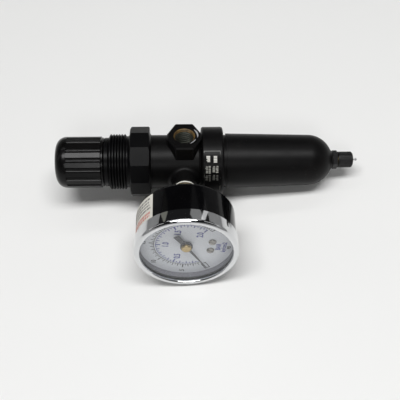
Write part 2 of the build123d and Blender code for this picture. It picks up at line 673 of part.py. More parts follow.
def window_gasket():
    return gauge_ring(WINDOW_BACK - 0.8, WINDOW_BACK, CASE_R - 0.1, RIM_BORE_R)


def dial_ring():
    return gauge_ring(DIAL_FACE, WINDOW_BACK - 0.8, CASE_R - 0.1, RIM_BORE_R)


def gauge_dial():
    shape = gauge_ring(DIAL_FACE - DIAL_THICK, DIAL_FACE, CASE_R - CASE_WALL - 0.15, 1.6)
    shape += gauge_ring(CASE_FRONT, DIAL_FACE, CASE_R - 0.1, CASE_R - CASE_WALL - 0.5)
    for across, up in DIAL_SCREWS:
        shape -= rod((across, -DIAL_FACE - 1, up), (across, -DIAL_FACE + 2, up), 1.0)
    return shape


def dial_screws():
    screws = []
    for across, up in DIAL_SCREWS:
        dome = Pos(across, -DIAL_FACE, up) * Rot(X=90) * Cylinder(
            1.95, 0.75, align=(Align.CENTER, Align.CENTER, Align.MIN))
        dome = fillet(dome.edges().filter_by(GeomType.CIRCLE).sort_by(Axis.Y)[:1], 0.5)
        shank = rod((across, -DIAL_FACE, up), (across, -DIAL_FACE + 2, up), 0.95)
        slot = Pos(across, -DIAL_FACE - 0.75, up) * Rot(Y=20) * Box(4.4, 0.7, 0.5)
        screws.append((dome + shank - slot).solid())
    return Compound(children=screws)


def gauge_pointer():
    blade = Polyline(
        (-0.12, POINTER_TIP), (0.12, POINTER_TIP), (0.62, 3.4), (1.6, 2.4), (1.6, -2.4), (1.1, -3.4),
        (1.5, -POINTER_TAIL), (-1.5, -POINTER_TAIL), (-1.1, -3.4), (-1.6, -2.4), (-1.6, 2.4), (-0.62, 3.4),
        close=True,
    )
    flat = extrude(Plane.XZ * make_face(blade), 0.35)
    shape = Rot(Y=DIAL_ZERO) * Pos(Y=-(POINTER_FACE - 0.35)) * flat
    shape += gauge_ring(POINTER_FACE - 1.0, POINTER_FACE + 0.1, 3.1)
    return shape - gauge_ring(POINTER_FACE - 1.1, POINTER_FACE + 0.2, 0.75)


def pointer_hub():
    back = POINTER_FACE + 0.1
    return gauge_turned([
        (back, 0.75), (back, 2.6), (back + HUB_HEIGHT - 0.5, 2.6), (back + HUB_HEIGHT, 2.1),
        (back + HUB_HEIGHT, 0.75),
    ])


def involute_gear(teeth, cut_teeth, addendum, dedendum, thin):
    """Flat outline of a spur gear of the gauge movement, tooth number 0 along +Y.

    cut_teeth is a (first, last) pair for a sector; thin is the backlash taken off each tooth.
    """
    pitch_r = GEAR_MODULE * teeth / 2
    base_r = pitch_r * cos(radians(20))
    tip_r = pitch_r + addendum
    root_r = pitch_r - dedendum
    half = pi / 2 / teeth - thin / 2 / pitch_r

    def flank_angle(radius):
        if radius <= base_r:
            return half + tan(radians(20)) - radians(20)
        pressure = acos(base_r / radius)
        return half + tan(radians(20)) - radians(20) - (tan(pressure) - pressure)

    radii = [root_r] + [max(root_r, base_r) + (tip_r - max(root_r, base_r)) * i / 4 for i in range(5)]
    if root_r >= base_r:
        radii = radii[1:]
    outline = []
    first, last = cut_teeth
    for tooth in range(first, last + 1):
        middle = 2 * pi * tooth / teeth
        for radius in radii:
            outline.append((radius, middle - flank_angle(radius)))
        for radius in reversed(radii):
            outline.append((radius, middle + flank_angle(radius)))
    return [(radius * sin(angle), radius * cos(angle)) for radius, angle in outline], root_r


def pinion_arbor():
    points, root_r = involute_gear(PINION_TEETH, (0, PINION_TEETH - 1), 0.9 * GEAR_MODULE,
                                   1.2 * GEAR_MODULE, 0.06)
    wheel = extrude(Plane.XZ * make_face(Polyline(*points, close=True)), 2.0)
    # one of its teeth points at the sector, which stands between two of its own
    wheel = Pos(Y=-50.8) * Rot(Y=SECTOR_MESH) * wheel
    shoulder = MOVEMENT_BACK + MOVEMENT_PLATE + 0.1
    arbor = gauge_turned([
        (MOVEMENT_BACK + 0.1, 0), (MOVEMENT_BACK + 0.1, 0.6), (shoulder, 0.6), (shoulder, root_r),
        (MOVEMENT_FRONT - 0.1, root_r), (MOVEMENT_FRONT - 0.1, 0.6), (MOVEMENT_FRONT + 0.8, 0.6),
        (MOVEMENT_FRONT + 0.8, 0.7), (POINTER_FACE + HUB_HEIGHT, 0.7), (POINTER_FACE + HUB_HEIGHT, 0),
    ])
    return wheel + arbor


def sector_turn():
    """Place of the sector at rest: pointer at zero, sector at one end of its swing."""
    centre = at_dial(SECTOR_CENTRE, SECTOR_MESH, SECTOR_BACK)
    return Pos(*centre) * Rot(Y=180.0 + SECTOR_MESH - SECTOR_SWING / 2)


def sector_gear():
    points, root_r = involute_gear(SECTOR_TEETH, (-SECTOR_REACH, SECTOR_REACH), 0.7 * GEAR_MODULE,
                                   1.2 * GEAR_MODULE, 0.06)
    edge = [
        (-3.2, root_r - 1.2), (-1.3, 4.0), (-1.3, 0.5), (-4.8, -0.4), (-5.0, -1.6), (-4.2, -2.4),
        (0, -1.7), (1.5, -0.6), (1.3, 4.0), (3.2, root_r - 1.2),
    ]
    plate = extrude(Plane.XZ * make_face(Polyline(*points, *reversed(edge), close=True)), 1.0)
    plate -= rod((TAIL_X, 1, TAIL_Z), (TAIL_X, -3, TAIL_Z), 0.8)
    plate -= rod((0, 1, 0), (0, -3, 0), 0.6)
    return sector_turn() * plate


def sector_arbor():
    def on_axis(station):
        return at_dial(SECTOR_CENTRE, SECTOR_MESH, station)

    arbor = rod(on_axis(MOVEMENT_BACK + 0.1), on_axis(MOVEMENT_FRONT + 0.6), 0.6)
    return arbor + rod(on_axis(SECTOR_BACK - 2.5), on_axis(SECTOR_BACK), 1.3)


def movement_plate(station, thickness):
    """Oblong plate that carries the pinion and the sector arbors."""
    plate = extrude(Plane.XZ * SlotCenterToCenter(SECTOR_CENTRE + 1.0, 10.4), thickness)
    plate = Rot(Y=SECTOR_MESH - 90.0) * Pos(SECTOR_CENTRE / 2, -station, 0) * plate
    for radius in (0.0, SECTOR_CENTRE):
        x, y, z = at_dial(radius, SECTOR_MESH, station)
        plate -= rod((x, y + 3, z), (x, y - 3, z), 0.6 + RUNNING)
    return plate


def movement_plates():
    back = movement_plate(MOVEMENT_BACK, MOVEMENT_PLATE)
    front = movement_plate(MOVEMENT_FRONT, 0.5)
    return Compound(children=[back.solid(), front.solid()])


def movement_pillars():
    pillars = []
    for along, across in ((-3.6, 3.4), (-3.6, -3.4), (14.0, 4.3)):
        pillar = rod((along, -MOVEMENT_BACK - MOVEMENT_PLATE, across), (along, -MOVEMENT_FRONT, across), 0.8)
        pillars.append((Rot(Y=SECTOR_MESH - 90.0) * pillar).solid())
    return Compound(children=pillars)


def tube_tip():
    """Middle of the Bourdon tube's closed end, on the dial plane."""
    x, _, z = at_dial(TUBE_R, TUBE_ROOT + TUBE_TURN, 0)
    return x, z


def bourdon_tube():
    path = CenterArc((0, 0), TUBE_R, 90 - TUBE_ROOT, -TUBE_TURN)
    start = Plane(origin=path @ 0, z_dir=path % 0)
    tube = Pos(Y=-(MOVEMENT_BACK - 2.4)) * Rot(X=90) * sweep(start * Rectangle(1.6, 4.6), path)
    x, z = tube_tip()
    post = rod((x, -MOVEMENT_BACK, z), (x, -LINK_BACK - 0.8, z), 0.5)
    post += rod((x, -MOVEMENT_BACK, z), (x, -LINK_BACK + 0.2, z), 1.1)
    return tube + rod((x, -MOVEMENT_BACK + 4.1, z), (x, -MOVEMENT_BACK, z), 1.3) + post


def movement_link():
    """Flat link from the tube's tip to the sector's tail, with the pin that enters the tail."""
    tail = sector_turn() * Pos(TAIL_X, 0, TAIL_Z)
    x0, z0 = tail.position.X, tail.position.Z
    x1, z1 = tube_tip()
    length = sqrt((x1 - x0) ** 2 + (z1 - z0) ** 2)
    bar = extrude(Plane.XZ * SlotCenterToCenter(length, 2.0), 0.4)
    turn = Rot(Y=-degrees(atan2(z1 - z0, x1 - x0)))
    bar = Pos((x0 + x1) / 2, -LINK_BACK, (z0 + z1) / 2) * turn * bar
    pin = rod((x0, -LINK_BACK, z0), (x0, -SECTOR_BACK, z0), 0.5)
    return bar + pin - rod((x1, -SECTOR_BACK, z1), (x1, -LINK_BACK - 1, z1), 0.52)


def hairspring():
    turns = 3.5
    steps = 84
    inner, outer = [], []
    for i in range(steps + 1):
        angle = 2 * pi * turns * i / steps
        radius = 1.3 + 0.7 * turns * i / steps
        inner.append((radius * cos(angle), radius * sin(angle)))
        outer.append(((radius + 0.12) * cos(angle), (radius + 0.12) * sin(angle)))
    ribbon = extrude(Plane.XZ * make_face(Polyline(*inner, *reversed(outer), close=True)), 0.4)
    return Pos(Y=-48.9) * ribbon


# ---------------------------------------------------------------- labels
def rating_label():
    """Thin printed plate wrapped on the collar, from below the gauge axis up towards the upper port."""
    band = ring(LABEL_X0, LABEL_X1, COLLAR_R + 0.15, COLLAR_R)
    middle = (LABEL_LOW + LABEL_HIGH) / 2
    angles = [radians(a) for a in (LABEL_HIGH, middle, LABEL_LOW)]
    corners = [(0, 0)] + [(-60 * cos(a), 60 * sin(a)) for a in angles]
    wedge = extrude(Plane.YZ * make_face(Polyline(*corners, close=True)), BODY_X1)
    return band & wedge


def gauge_sticker():
    """Paper label round the knob side of the gauge case."""
    band = gauge_ring(CASE_BACK + 2.1, BEZEL_BACK - 0.1, CASE_R + 0.12, CASE_R)
    corners = [(0, 0)] + [(-60 * sin(radians(a)), 60 * cos(radians(a))) for a in (40, 78, 116)]
    wedge = extrude(Plane.XZ * make_face(Polyline(*corners, close=True)), 90)
    return band & wedge


PARTS = {
    "adjusting_knob": adjusting_knob,
    "bonnet": bonnet,
    "adjusting_screw": adjusting_screw,
    "screw_clip": screw_clip,
    "thrust_washer": thrust_washer,
    "spring_nut": spring_nut,
    "regulating_spring": regulating_spring,
    "diaphragm_plate": diaphragm_plate,
    "diaphragm": diaphragm,
    "diaphragm_button": diaphragm_button,
    "body": body,
    "gauge_port_plug": gauge_port_plug,
    "rating_label": rating_label,
    "valve_seat": valve_seat,
    "valve_stem": valve_stem,
    "valve_poppet": valve_poppet,
    "poppet_seal": poppet_seal,
    "valve_spring": valve_spring,
    "valve_guide": valve_guide,
    "bowl": bowl,
    "bowl_oring": bowl_oring,
    "deflector": deflector,
    "filter_element": filter_element,
    "filter_gasket": filter_gasket,
    "filter_post": filter_post,
    "baffle": baffle,
    "drain_body": drain_body,
    "drain_float": drain_float,
    "drain_oring": drain_oring,
    "drain_lock_nut": drain_lock_nut,
    "drain_nut": drain_nut,
    "drain_pin": drain_pin,
    "drain_spring": drain_spring,
    "gauge_stem": gauge_stem,
    "stem_tape": stem_tape,
    "gauge_case": gauge_case,
    "case_screws": case_screws,
    "gauge_bezel": gauge_bezel,
    "gauge_window": gauge_window,
    "window_gasket": window_gasket,
    "dial_ring": dial_ring,
    "gauge_dial": gauge_dial,
    "dial_screws": dial_screws,
    "gauge_pointer": gauge_pointer,
    "pointer_hub": pointer_hub,
    "pinion_arbor": pinion_arbor,
    "sector_gear": sector_gear,
    "sector_arbor": sector_arbor,
    "movement_plates": movement_plates,
    "movement_pillars": movement_pillars,
    "bourdon_tube": bourdon_tube,
    "movement_link": movement_link,
    "hairspring": hairspring,
    "gauge_sticker": gauge_sticker,
}


def resting_place(shapes):
    """Rest the part on the bench, with the middle of its footprint at the origin."""
    turn = Rot(Y=TIP_ANGLE) * Rot(X=-LEAN_ANGLE)
    boxes = [(turn * shape).bounding_box() for shape in shapes.values()]
    low = [min(getattr(box.min, axis) for box in boxes) for axis in "XYZ"]
    high = [max(getattr(box.max, axis) for box in boxes) for axis in "XYZ"]
    return Pos(-(low[0] + high[0]) / 2, -(low[1] + high[1]) / 2, -low[2]) * turn


shapes = {name: make() for name, make in PARTS.items()}
place = resting_place(shapes)
os.makedirs("parts", exist_ok=True)
for node, shape in shapes.items():
    export_step(place * shape, f"parts/{node}.step")
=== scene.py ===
"""Looks of a miniature compressed-air filter-regulator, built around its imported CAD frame.

Pieces are shaped in millimetres in the regulator's own axes: X along the body from the knob to the
drain, Z along the two pipe ports and -Y the way the gauge faces, with the origin where body and
ports cross. OWN then carries them to the bench frame, in metres, in which the part lies down.
"""
import json
import math
import random

import bmesh
import bpy
from mathutils import Matrix, Vector


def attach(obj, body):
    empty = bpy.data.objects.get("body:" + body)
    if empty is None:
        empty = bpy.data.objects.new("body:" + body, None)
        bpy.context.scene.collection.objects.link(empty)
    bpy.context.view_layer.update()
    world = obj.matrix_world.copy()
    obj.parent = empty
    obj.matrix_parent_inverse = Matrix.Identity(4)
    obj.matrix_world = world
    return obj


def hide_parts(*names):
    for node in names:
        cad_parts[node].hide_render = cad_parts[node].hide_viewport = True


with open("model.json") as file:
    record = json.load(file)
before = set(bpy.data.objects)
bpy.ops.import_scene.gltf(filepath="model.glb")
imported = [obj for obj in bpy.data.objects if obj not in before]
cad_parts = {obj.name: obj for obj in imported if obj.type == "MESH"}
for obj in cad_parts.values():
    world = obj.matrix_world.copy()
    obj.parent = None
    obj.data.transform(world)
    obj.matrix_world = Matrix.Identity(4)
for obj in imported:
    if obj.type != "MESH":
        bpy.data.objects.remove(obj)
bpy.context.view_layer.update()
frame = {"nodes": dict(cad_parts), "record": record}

MM = 0.001
NODES = frame["nodes"]
MOUNTS = {m["name"]: m for m in frame["record"]["mounts"]}


def own_axes():
    """Matrix from the regulator's own axes, in millimetres, to the bench frame, in metres."""
    inlet = Vector(MOUNTS["inlet_port"]["pos_m"])
    outlet = Vector(MOUNTS["outlet_port"]["pos_m"])
    up = Vector(MOUNTS["inlet_port"]["axis"]).normalized()
    along = -Vector(MOUNTS["panel_thread"]["axis"]).normalized()
    back = up.cross(along)
    turn = Matrix((along, back, up)).transposed().to_4x4()
    return Matrix.Translation((inlet + outlet) / 2) @ turn @ Matrix.Scale(MM, 4)


OWN = own_axes()

# ------------------------------------------------------------------ driving sizes, millimetres
DIAL_FACE = 58.0            # from the body axis towards the viewer
DIAL_UP = 276.0             # clock angle that the dial's own top points to
SCALE_ZERO = 141.0          # clock angle of zero pressure
PSI_STEP = 9.0              # degrees for each psi
PSI_FULL = 30
BAR_STEP = PSI_STEP * 1.4504    # degrees for each tenth of a bar
BAR_FULL = 20
SCALE_ARC_R = 16.2
ZERO_BOX = 150.5            # clock angle of the box that the pointer rests in
PRINT_THICK = 0.03
NUMBER_R = 10.3             # where the bar numbers stand, then the psi numbers
PSI_NUMBER_R = 21.4
UNIT_CLOCK = 97.5           # clock angle of the unit names
COLLAR_R = 18.75            # outside of the rating label
LABEL_LEFT = 10.1           # its edges along the body, then its ends in degrees above the gauge axis
LABEL_RIGHT = 18.8
LABEL_TOP = 62.0
LABEL_END = -10.0
LABEL_LINE = 0.2            # width of its outline
CASE_R = 25.32              # outside of the paper sticker
SHELL_R = 25.2              # gauge case
SHELL_WALL = 1.3
SHELL_INNER_CORNER = 0.6
SHELL_SIDES = 192
STEM_R = 5.25               # hole for the gauge stem in the back of the case
CASE_BACK = 38.8            # stations from the body axis towards the viewer
CASE_FRONT = 57.4
CASE_CORNER = 2.0
BEZEL_R = 26.0
BEZEL_BACK = 56.7
BEZEL_FRONT = 64.4
BEZEL_ROLL = 1.71           # rolled front edge
BEZEL_LIP = 63.6            # centre of the inner lip, then its radius
BEZEL_LIP_R = 0.85
BEZEL_OPENING = 23.1
WINDOW_FRONT = 63.2
PORT_FACE = 19.2            # from the crossing of body and ports
PORT_BORE_R = 5.7
NPT_PITCH = 1.41
NPT_TAPER = 0.03            # radius lost for each millimetre of depth
THREAD_HEIGHT = 0.52
THREAD_GAP = 0.03           # between the bore wall and the foot of the thread

# ------------------------------------------------------------------ shared colours and grain
BLACK = (0.0022, 0.0022, 0.0024)
WARM_BLACK = (0.0042, 0.0038, 0.0038)
DUST = (0.3, 0.29, 0.27)
GRAIN = 900.0               # cells of fine relief in a metre, then its depth in metres
GRAIN_DEPTH = 0.00001


# ------------------------------------------------------------------ shader helpers
def material(name):
    """New node material with its principled shader."""
    mat = bpy.data.materials.new(name)
    mat.use_nodes = True
    shader = mat.node_tree.nodes["Principled BSDF"]
    return mat, mat.node_tree, shader


def set_inputs(shader, **values):
    """Sets plain inputs by name, with _ for each space."""
    for key, value in values.items():
        shader.inputs[key.replace("_", " ")].default_value = value


def add(tree, kind, **settings):
    """New shader node with its settings."""
    node = tree.nodes.new(kind)
    for key, value in settings.items():
        setattr(node, key, value)
    return node


def noise(tree, scale, detail=4.0, roughness=0.55):
    """Object-space noise; scale is in cells per metre."""
    place = add(tree, "ShaderNodeTexCoord")
    texture = add(tree, "ShaderNodeTexNoise")
    texture.inputs["Scale"].default_value = scale
    texture.inputs["Detail"].default_value = detail
    texture.inputs["Roughness"].default_value = roughness
    tree.links.new(place.outputs["Object"], texture.inputs["Vector"])
    return texture.outputs["Fac"]


def ramp(tree, factor, start, end, low=0.3, high=0.7):
    """Maps factor from low..high to start..end; noise stays mostly between 0.3 and 0.7."""
    node = add(tree, "ShaderNodeMapRange")
    node.inputs["From Min"].default_value = low
    node.inputs["From Max"].default_value = high
    node.inputs["To Min"].default_value = start
    node.inputs["To Max"].default_value = end
    tree.links.new(factor, node.inputs["Value"])
    return node.outputs["Result"]


def mix_colour(tree, factor, first, second):
    """Mix of two colours, each a tuple or another node's output."""
    node = add(tree, "ShaderNodeMix", data_type="RGBA")
    for socket, value in ((node.inputs["A"], first), (node.inputs["B"], second)):
        if isinstance(value, tuple):
            socket.default_value = (*value, 1)
        else:
            tree.links.new(value, socket)
    tree.links.new(factor, node.inputs["Factor"])
    return node.outputs["Result"]


def bump(tree, shader, height, strength, distance):
    """Relief from a height between 0 and 1, over a distance in metres."""
    node = add(tree, "ShaderNodeBump")
    node.inputs["Strength"].default_value = strength
    node.inputs["Distance"].default_value = distance
    tree.links.new(height, node.inputs["Height"])
    tree.links.new(node.outputs["Normal"], shader.inputs["Normal"])


def finish(name, dark, light, rough, metallic=0.0, grain_depth=GRAIN_DEPTH, patches=60.0):
    """A surface whose colour and roughness drift in patches, with a fine grain in its relief."""
    mat, tree, shader = material(name)
    blotch = ramp(tree, noise(tree, patches, 5.0), 0, 1)
    tree.links.new(mix_colour(tree, blotch, dark, light), shader.inputs["Base Color"])
    smear = ramp(tree, noise(tree, patches * 2.3, 3.0), *rough)
    tree.links.new(smear, shader.inputs["Roughness"])
    bump(tree, shader, noise(tree, GRAIN, 3.0), 0.5, grain_depth)
    set_inputs(shader, Metallic=metallic)
    return mat


def gloss_finish(name, dark, light, rough, level, dust=0.0, grain=GRAIN, grain_depth=GRAIN_DEPTH):
    """A dark moulded or painted surface: fine grain, faint smears and a little settled dust.

    level sets how strongly it mirrors, against 0.5 for common plastic.
    """
    mat, tree, shader = material(name)
    blotch = ramp(tree, noise(tree, 60.0, 5.0), 0, 1)
    colour = mix_colour(tree, blotch, dark, light)
    if dust:
        specks = ramp(tree, noise(tree, 1700.0, 2.0, 0.7), 0, 1, 0.66, 0.74)
        settled = ramp(tree, noise(tree, 45.0, 3.0), 0, dust, 0.45)
        factor = add(tree, "ShaderNodeMath", operation="MULTIPLY")
        tree.links.new(specks, factor.inputs[0])
        tree.links.new(settled, factor.inputs[1])
        colour = mix_colour(tree, factor.outputs[0], colour, DUST)
    tree.links.new(colour, shader.inputs["Base Color"])
    smear = ramp(tree, noise(tree, 130.0, 4.0), *rough)
    tree.links.new(smear, shader.inputs["Roughness"])
    bump(tree, shader, noise(tree, grain, 3.0), 0.4, grain_depth)
    set_inputs(shader, Specular_IOR_Level=level)
    return mat


# ------------------------------------------------------------------ materials
def make_materials():
    """One procedural material for each finish on the part."""
    return {
        "knob_plastic": gloss_finish("knob_plastic", BLACK, WARM_BLACK, (0.2, 0.26), dust=0.12, level=0.16),
        "bonnet_plastic": gloss_finish("bonnet_plastic", BLACK, (0.003, 0.003, 0.0034), (0.3, 0.36),
                                       dust=0.15, grain=1500.0, grain_depth=0.00002, level=0.09),
        "body_paint": gloss_finish("body_paint", BLACK, WARM_BLACK, (0.37, 0.43), dust=0.2, grain=2500.0,
                                   grain_depth=0.00002, level=0.11),
        "bowl_paint": gloss_finish("bowl_paint", BLACK, WARM_BLACK, (0.37, 0.43), dust=0.25, grain=2500.0,
                                   grain_depth=0.00002, level=0.12),
        "brass": finish("brass", (0.42, 0.31, 0.13), (0.60, 0.46, 0.23), (0.3, 0.42), 1.0),
        "pale_brass": finish("pale_brass", (0.56, 0.46, 0.28), (0.74, 0.64, 0.44), (0.28, 0.4), 1.0),
        "steel": finish("steel", (0.5, 0.5, 0.51), (0.66, 0.66, 0.67), (0.25, 0.38), 1.0),
        "dull_steel": finish("dull_steel", (0.2, 0.19, 0.17), (0.36, 0.34, 0.31), (0.2, 0.32), 1.0),
        "spring_steel": finish("spring_steel", (0.3, 0.3, 0.31), (0.42, 0.42, 0.43), (0.3, 0.42), 1.0),
        "aluminium": finish("aluminium", (0.62, 0.62, 0.63), (0.74, 0.74, 0.75), (0.35, 0.45), 1.0),
        "rubber": finish("rubber", (0.012, 0.012, 0.012), (0.022, 0.022, 0.022), (0.6, 0.75)),
        "white_plastic": finish("white_plastic", (0.7, 0.7, 0.68), (0.78, 0.78, 0.76), (0.4, 0.5)),
        "black_plastic": gloss_finish("black_plastic", (0.003, 0.003, 0.0032), (0.006, 0.006, 0.0065),
                                      (0.38, 0.5), dust=0.1, level=0.3),
        "filter_media": finish("filter_media", (0.66, 0.64, 0.57), (0.78, 0.76, 0.7), (0.8, 0.9)),
        "case_paint": gloss_finish("case_paint", (0.0015, 0.0015, 0.0018), (0.0025, 0.0025, 0.003),
                                   (0.08, 0.13), dust=0.08, level=0.16),
        "chrome": finish("chrome", (0.66, 0.67, 0.68), (0.74, 0.75, 0.76), (0.045, 0.08), 1.0,
                         grain_depth=0.000002),
        # dark grey of the dial ring: painted shade, standing for the shade that falls between dial and
        # bezel
        "ring_painted_shade": finish("ring_painted_shade", (0.12, 0.12, 0.14), (0.16, 0.16, 0.18), (0.45, 0.55)),
        "dial_paint": finish("dial_paint", (0.75, 0.77, 0.81), (0.79, 0.81, 0.85), (0.4, 0.5)),
        "pointer_paint": finish("pointer_paint", (0.03, 0.03, 0.033), (0.05, 0.05, 0.053), (0.35, 0.45)),
        "label_print": gloss_finish("label_print", BLACK, WARM_BLACK, (0.3, 0.38), level=0.1),
        "sticker_paper": finish("sticker_paper", (0.62, 0.60, 0.54), (0.70, 0.68, 0.62), (0.5, 0.6)),
        "seal_tape": finish("seal_tape", (0.72, 0.70, 0.62), (0.84, 0.83, 0.78), (0.35, 0.45)),
        "window": window_material(),
        "blue_ink": finish("blue_ink", (0.03, 0.04, 0.26), (0.05, 0.06, 0.32), (0.4, 0.5)),
        "dark_ink": finish("dark_ink", (0.012, 0.012, 0.016), (0.025, 0.025, 0.03), (0.4, 0.5)),
        "white_ink": finish("white_ink", (0.62, 0.61, 0.56), (0.78, 0.77, 0.72), (0.4, 0.5)),
        "pale_ink": finish("pale_ink", (0.30, 0.30, 0.27), (0.40, 0.39, 0.36), (0.4, 0.5)),
        "grey_ink": finish("grey_ink", (0.10, 0.10, 0.09), (0.15, 0.15, 0.14), (0.4, 0.5)),
        "print_grey": finish("print_grey", (0.10, 0.10, 0.10), (0.16, 0.16, 0.16), (0.4, 0.5)),
        "red_ink": finish("red_ink", (0.50, 0.16, 0.14), (0.60, 0.24, 0.2), (0.4, 0.5)),
        # golden brown of the thread's first turn: pipe dope, and painted light for the lit top turn of the
        # thread, lighter than the thread deeper in
        "pipe_dope_and_painted_light": finish("pipe_dope_and_painted_light", (0.05, 0.028, 0.006), (0.2, 0.12, 0.032), (0.35, 0.55),
                            grain_depth=0.00005, patches=400.0),
        "bare_thread": finish("bare_thread", (0.035, 0.038, 0.03), (0.1, 0.105, 0.085), (0.3, 0.5), 0.6,
                              grain_depth=0.00004),
        # pale and barely metallic: worn edge and painted highlight together, for the glint on the port's
        # rim
        "chipped_edge_and_glint": finish("chipped_edge_and_glint", (0.25, 0.26, 0.28), (0.6, 0.6, 0.6), (0.3, 0.45), 0.15,
                               grain_depth=0.00004),
    }


def window_material():
    """Clear acrylic: nearly see-through, with a gloss."""
    mat, tree, shader = material("window")
    tree.links.new(ramp(tree, noise(tree, 90.0), 0.03, 0.07), shader.inputs["Roughness"])
    shader.inputs["Base Color"].default_value = (0.9, 0.93, 0.95, 1)
    set_inputs(shader, Alpha=0.07, IOR=1.45)
    return mat


MATERIALS = make_materials()
# nodes whose finish differs a little from the rest of their slot; the dial ring's dark grey is painted
# shade, for the shade between dial and bezel
OWN_LOOK = {"gauge_stem": "pale_brass", "dial_screws": "dull_steel", "dial_ring": "ring_painted_shade"}


def dress_nodes():
    """Gives every CAD node the finish of its slot, or its own."""
    slots = {row["node"]: row["material_slot"] for row in frame["record"]["subparts"]}
    for name, node in NODES.items():
        node.data.materials.clear()
        node.data.materials.append(MATERIALS[OWN_LOOK.get(name, slots[name])])
        for polygon in node.data.polygons:
            polygon.material_index = 0


# ------------------------------------------------------------------ piece helpers
def piece(name, verts, faces, body, look, smooth=False):
    """Mesh piece shaped in the regulator's own axes, in millimetres, that rides on a body."""
    mesh = bpy.data.meshes.new(name)
    mesh.from_pydata([OWN @ Vector(v) for v in verts], [], faces)
    mesh.validate()
    shell = bmesh.new()
    shell.from_mesh(mesh)
    bmesh.ops.recalc_face_normals(shell, faces=shell.faces)
    shell.to_mesh(mesh)
    shell.free()
    for polygon in mesh.polygons:
        polygon.use_smooth = smooth
    mesh.materials.append(MATERIALS[look])
    obj = bpy.data.objects.new(name, mesh)
    bpy.context.scene.collection.objects.link(obj)
    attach(obj, body)
    return obj


class Shape:
    """Verts and faces of one piece, gathered slab by slab."""

    def __init__(self):
        self.verts = []
        self.faces = []

    def prism(self, base, top):
        """Closed slab between two loops of the same number of points."""
        start, count = len(self.verts), len(base)
        self.verts += base + top
        self.faces.append(tuple(range(start + count - 1, start - 1, -1)))
        self.faces.append(tuple(range(start + count, start + 2 * count)))
        for i in range(count):
            j = (i + 1) % count
            self.faces.append((start + i, start + j, start + count + j, start + count + i))

    def add_mesh(self, verts, faces):
        start = len(self.verts)
        self.verts += verts
        self.faces += [tuple(start + i for i in face) for face in faces]

    def build(self, name, body, look):
        piece(name, self.verts, self.faces, body, look)


def on_dial(radius, clock, lift=0.0):
    """Point on the dial at a clock angle, lifted off its face; clock angles start at the upper port."""
    turn = math.radians(clock)
    return (radius * math.sin(turn), -DIAL_FACE - lift, radius * math.cos(turn))


def on_drum(radius, station, angle):
    """Point on a drum about the body axis; angle 0 faces the gauge, 90 faces the upper port."""
    turn = math.radians(angle)
    return (station, -radius * math.cos(turn), radius * math.sin(turn))


def on_case(radius, station, clock):
    """Point on the gauge case at a clock angle and a station from the body axis."""
    turn = math.radians(clock)
    return (radius * math.sin(turn), -station, radius * math.cos(turn))


def patch(shape, place, radius, along, across, steps=3):
    """Thin slab on a curved wall, between two stations and two angles, that follows the wall."""
    angles = [across[0] + (across[1] - across[0]) * i / steps for i in range(steps + 1)]
    loops = []
    for r in (radius, radius + PRINT_THICK):
        there = [place(r, along[0], a) for a in angles]
        back = [place(r, along[1], a) for a in reversed(angles)]
        loops.append(there + back)
    shape.prism(*loops)


# ------------------------------------------------------------------ dial printing
CAPITALS = 0.7              # height of a capital against the font's size
ARC_SLABS = 72


def dial_slab(shape, corners):
    """Thin slab on the dial between corners, each a radius and a clock angle."""
    shape.prism([on_dial(r, c) for r, c in corners], [on_dial(r, c, PRINT_THICK) for r, c in corners])


def tick(shape, clock, r0, r1, width):
    """Radial stroke of even width."""
    near = math.degrees(width / 2 / ((r0 + r1) / 2))
    far = near * r0 / r1
    dial_slab(shape, ((r0, clock - near), (r0, clock + near), (r1, clock + far), (r1, clock - far)))


def arc(shape, radius, width, start, end, steps):
    """Printed arc, as a string of short slabs."""
    inner, outer = radius - width / 2, radius + width / 2
    for i in range(steps):
        a = start + (end - start) * i / steps
        b = start + (end - start) * (i + 1) / steps
        dial_slab(shape, ((inner, a), (inner, b), (outer, b), (outer, a)))


def text(shape, words, radius, clock, height, squeeze, weight):
    """Upright lettering on the dial, centred at a radius and clock angle; weight thickens its strokes."""
    curve = bpy.data.curves.new("lettering", "FONT")
    curve.body = words
    curve.size = 1.0
    curve.offset = weight
    curve.align_x = "CENTER"
    curve.align_y = "CENTER"
    curve.extrude = 0.5
    carrier = bpy.data.objects.new("lettering", curve)
    bpy.context.scene.collection.objects.link(carrier)
    bpy.context.view_layer.update()
    mesh = bpy.data.meshes.new_from_object(carrier)
    bpy.data.objects.remove(carrier)
    size = height / CAPITALS
    right = Vector(on_dial(1.0, DIAL_UP + 90.0)) + Vector((0, DIAL_FACE, 0))
    up = Vector(on_dial(1.0, DIAL_UP)) + Vector((0, DIAL_FACE, 0))
    middle = Vector(on_dial(radius, clock))
    verts = []
    for vert in mesh.vertices:
        x, y, z = vert.co
        lift = Vector((0, -1, 0)) * (z + 0.5) * PRINT_THICK
        verts.append(tuple(middle + right * x * size * squeeze + up * y * size + lift))
    shape.add_mesh(verts, [tuple(polygon.vertices) for polygon in mesh.polygons])
    bpy.data.meshes.remove(mesh)


